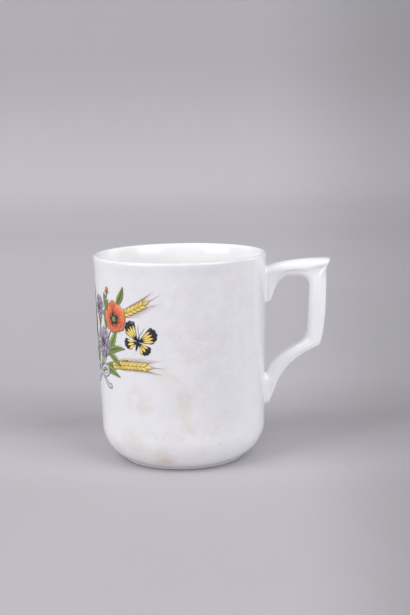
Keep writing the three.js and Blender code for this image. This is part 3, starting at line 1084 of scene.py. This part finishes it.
# Where the parts of the spray go. A flower is its middle, its size and its turn. A leaf is its base,
# the way it points, its length and its width, and an ear of wheat ends with its sag instead.
TIE = spot(1, 40.5)
POPPIES = ((spot(14.5, 65), 7.6, 10), (spot(-13.5, 59.5), 7.8, -20))
CORNFLOWERS = ((spot(4.5, 54), 7.4, 0), (spot(1, 68.5), 5.8, 15), (spot(-25, 50.5), 5.4, 40))
EARS = (
    (spot(12, 45), 4, 18, 0.05),
    (spot(18, 67), 24, 13, -0.05),
    (spot(-12, 46), 186, 18, 0.08),
    (spot(-17, 64), 144, 17, -0.06),
)
LEAVES = (
    (spot(6, 48), 55, 17, 3.6),
    (spot(5, 44), 15, 17, 3.4),
    (spot(4, 43), -12, 13, 3.0),
    (spot(-2, 46), 118, 15, 3.5),
    (spot(-4, 44), 160, 17, 3.5),
    (spot(-5, 43), 192, 14, 3.0),
    (spot(8, 60), 80, 13, 3.4),
    (spot(1, 60), 95, 12, 3.2),
    (spot(-9, 63), 108, 13, 3.2),
    (spot(-18, 57.5), 150, 14, 3.2),
    (spot(16, 71), 62, 9, 2.8),
    (spot(8.5, 50), 14, 12, 2.8),
    (spot(-22, 52), 200, 12, 3.0),
    (spot(9, 50), -30, 10, 2.6),
    (spot(-9, 49), 215, 10, 2.6),
    (spot(10, 68), 110, 8, 2.6),
)


def draw_spray():
    """Stems and leaves first, then ears of wheat, flowers, the ribbon and the butterfly. Each ear and
    each flower starts from its layer again, so that no film ends far off the wall."""
    for centre, _, _ in (*POPPIES, *CORNFLOWERS):
        stem(TIE, centre, 0.002 * (centre.x - TIE.x))
    for base, _, _, _ in EARS:
        stem(TIE, base, -0.004 * (base.x - TIE.x))
    for placed in LEAVES:
        leaf(*placed, draw_random.choice((-0.14, 0.14)))
    for ear in EARS:
        spray.start(3)
        wheat_ear(*ear)
    spray.start(4)
    poppy_bud(spot(8, 60), spot(9.5, 75), 2.3)
    poppy_bud(spot(-10, 62), spot(-9, 73.5), 2.3)
    for flower in CORNFLOWERS:
        spray.start(4)
        cornflower(*flower)
    for flower in POPPIES:
        spray.start(5)
        poppy(*flower)
    spray.start(4)
    ribbon_bow(TIE, 6.5)
    spray.start(1)
    butterfly(spot(27, 56.5), 9.6, -16)


# Each enamel: its deepest and its lightest tone, the mark of a patch that it goes by, and how light it
# is where that mark is 0 and where it is 1
ENAMELS = {
    "drawing": ((0.035, 0.025, 0.018), (0.09, 0.07, 0.05), "along", 0, 1),
    "leaf_green": ((0.10, 0.17, 0.03), (0.42, 0.50, 0.14), "across", 0, 0.8),
    "poppy_red": ((0.42, 0.03, 0.015), (0.92, 0.26, 0.10), "along", 0, 1),
    "poppy_shade": ((0.35, 0.03, 0.02), (0.55, 0.08, 0.04), "along", 0, 1),
    "cornflower_mauve": ((0.10, 0.07, 0.13), (0.48, 0.42, 0.55), "along", 0, 1),
    "wheat_yellow": ((0.62, 0.36, 0.05), (0.93, 0.76, 0.24), "across", 1, 0.2),
    "straw": ((0.30, 0.19, 0.06), (0.62, 0.46, 0.18), "along", 0, 1),
    "black": ((0.008, 0.008, 0.009), (0.03, 0.03, 0.032), "along", 0, 1),
    "ribbon_grey": ((0.30, 0.29, 0.33), (0.70, 0.69, 0.72), "across", 1, 0.3),
}
STIPPLE = 0.35


def enamel(name, deep, light, mark, first, last):
    """Fired colour, deeper in some places than in others, with the fine dots of a printed tone."""
    finish = new_finish(name)
    patch = mix(first, last, finish.mark(mark)) + 0.35 * (finish.mark("tone") - 0.5)
    tone = patch + 0.5 * (finish.noise(scale=700, detail=3) - 0.5)
    dots = finish.noise(scale=2600, detail=1).ramp(0.52, 0.66)
    return finish.surface(base_color=finish.colours(tone - STIPPLE * dots, deep, light), roughness=0.16)


def build_print():
    draw_spray()
    for colour, films in spray.colours.items():
        finishes = [enamel(colour + "_enamel", *ENAMELS[colour])]
        name = "print_" + colour
        film = piece(name, films.points, films.faces, finishes, "glazed_porcelain", films.marks)
        joined = film.modifiers.new("joined", "WELD")
        joined.merge_threshold = JOIN_GAP * MM
        backing = film.modifiers.new("film", "SOLIDIFY")
        backing.thickness = FILM * MM
        backing.offset = -1


build_print()


# Studio, in metres

PAPER_HALF_WIDTH = 2.5
PAPER_FRONT = -2.5
PAPER_BEND_START = 0.9
PAPER_BEND = 0.5
PAPER_TOP = 1.6
PAPER_GREY = (0.75, 0.73, 0.78)
PAPER_THROWN_BACK = (0.62, 0.61, 0.64)

# Lamps: degrees to the right of the camera's side, degrees up, distance, width, height and watts
LAMPS = {
    "left_soft_box": (-60, 37, 2.2, 1.5, 2.3, 39),
    "right_soft_box": (48, 37, 2.2, 1.5, 2.3, 32.3),
    "top_light": (0, 72, 2.4, 1.8, 1.8, 8),
    "left_back_light": (-125, 25, 2.2, 1.2, 1.4, 4),
    "right_back_light": (118, 20, 2.2, 1.2, 1.4, 7),
}
LAMP_AIM = Vector((AXIS * MM, 0, 0.04))

WORLD_LIGHT = (0.98, 0.98, 1.0, 1)
WORLD_STRENGTH = 0.1
WORLD_BACKDROP = (0.40, 0.39, 0.42, 1)

# The camera as fitted to the photograph: its place in metres from the mug's axis, and its angles
CAMERA_DISTANCE = 0.5
CAMERA_HEIGHT = 0.1508
CAMERA_TILT = math.radians(9.745)
CAMERA_TURN = math.radians(1.19)
CAMERA_ROLL = math.radians(-1.06)
SENSOR_WIDTH_MM = 36
LENS_MM = 68.1
CLIP_START = 0.01


def paper_finish():
    """Grey paper to the eye and in reflections, with painted light and shade: paler far back and where the
    sweep begins to rise and darker up the backdrop, painted light just in front of the mug with a painted
    darker band behind it, and painted shade to the right. The light that it throws back is that of paler
    paper. Bands are placed in metres, and a tone of 2 is PAPER_GREY itself."""
    finish = new_finish("grey_paper")
    away, up = finish.place("Y"), finish.place("Z")
    # Painted light and shade: paler far back and where the sweep begins to rise, darker up the backdrop
    painted_back_light = 0.21 * away.ramp(0.1, 0.7) + 0.11 * up.ramp(0.012, 0.045) - 0.36 * up.ramp(0.03, 0.24)
    # Painted light in front of the mug and a painted darker band just behind it
    painted_near_light_and_shade = 0.1 * away.ramp(-0.06, 0) - 0.17 * away.ramp(0.02, 0.06) + 0.07 * away.ramp(0.09, 0.14)
    # Painted shade, darker to the right
    painted_right_shade = 0.27 * (finish.place("X") / (away + 0.5)).ramp(0.05, 0.2)
    fine_grain = 0.05 * (finish.noise(scale=1600, detail=3) - 0.5)
    broad_grain = 0.03 * (finish.noise(scale=9, detail=3) - 0.5)
    tone = (1.22 + painted_back_light + painted_near_light_and_shade + fine_grain + broad_grain) * (1 - painted_right_shade)
    grey = finish.colours(tone / 2, (0, 0, 0), PAPER_GREY)
    return finish.surface(base_color=finish.colours(finish.seen(), PAPER_THROWN_BACK, grey), roughness=0.9)


def build_sweep():
    """A sheet of paper on the table that curves up behind the mug."""
    bend = arc(PAPER_BEND_START, PAPER_BEND, PAPER_BEND, -90, 0, 24)
    profile = [(PAPER_FRONT, 0), *bend, (PAPER_BEND_START + PAPER_BEND, PAPER_TOP)]
    points = [(side * PAPER_HALF_WIDTH, y, z) for y, z in profile for side in (-1, 1)]
    faces = [(2 * i, 2 * i + 1, 2 * i + 3, 2 * i + 2) for i in range(len(profile) - 1)]
    sweep = add("paper_sweep", smooth_mesh("paper_sweep", points, faces, [paper_finish()]))


def build_lamp(name, side, height, distance, wide, tall, power):
    """A flat lamp that looks at the mug."""
    light = bpy.data.lights.new(name, "AREA")
    light.shape = "RECTANGLE"
    light.size = wide
    light.size_y = tall
    light.energy = power
    turn, lift = math.radians(side), math.radians(height)
    away = Vector((math.sin(turn) * math.cos(lift), -math.cos(turn) * math.cos(lift), math.sin(lift)))
    lamp = add(name, light)
    lamp.location = LAMP_AIM + away * distance
    lamp.rotation_euler = away.to_track_quat("Z", "Y").to_euler()


def build_world():
    """A little even light from all round, and a plain grey to the eye and in reflections."""
    world = bpy.data.worlds.new("studio")
    bpy.context.scene.world = world
    sky = Finish(world)
    light = sky.node("ShaderNodeBackground", None, {"Color": WORLD_LIGHT, "Strength": WORLD_STRENGTH})
    backdrop = sky.node("ShaderNodeBackground", None, {"Color": WORLD_BACKDROP})
    blend = sky.node("ShaderNodeMixShader", None, {0: sky.seen(), 1: light, 2: backdrop})
    sky.output("ShaderNodeOutputWorld", blend)


def build_camera():
    """A camera at the photograph's height, tilt and turn."""
    across, along = math.sin(CAMERA_TURN), math.cos(CAMERA_TURN)
    level_share = math.cos(CAMERA_TILT)
    ahead = Vector((across * level_share, along * level_share, -math.sin(CAMERA_TILT)))
    level = Vector((along, -across, 0))
    upright = level.cross(ahead)
    right = math.cos(CAMERA_ROLL) * level + math.sin(CAMERA_ROLL) * upright
    up = -math.sin(CAMERA_ROLL) * level + math.cos(CAMERA_ROLL) * upright
    data = bpy.data.cameras.new("camera")
    data.sensor_width = SENSOR_WIDTH_MM
    data.lens = LENS_MM
    data.clip_start = CLIP_START
    camera = add("camera", data)
    placed = Matrix((right, up, -ahead)).transposed().to_4x4()
    placed.translation = Vector((AXIS * MM, -CAMERA_DISTANCE, CAMERA_HEIGHT))
    camera.matrix_world = placed
    bpy.context.scene.camera = camera


build_sweep()
for lamp_name, lamp_values in LAMPS.items():
    build_lamp(lamp_name, *lamp_values)
build_world()
build_camera()
bpy.context.scene.view_settings.view_transform = "Standard"
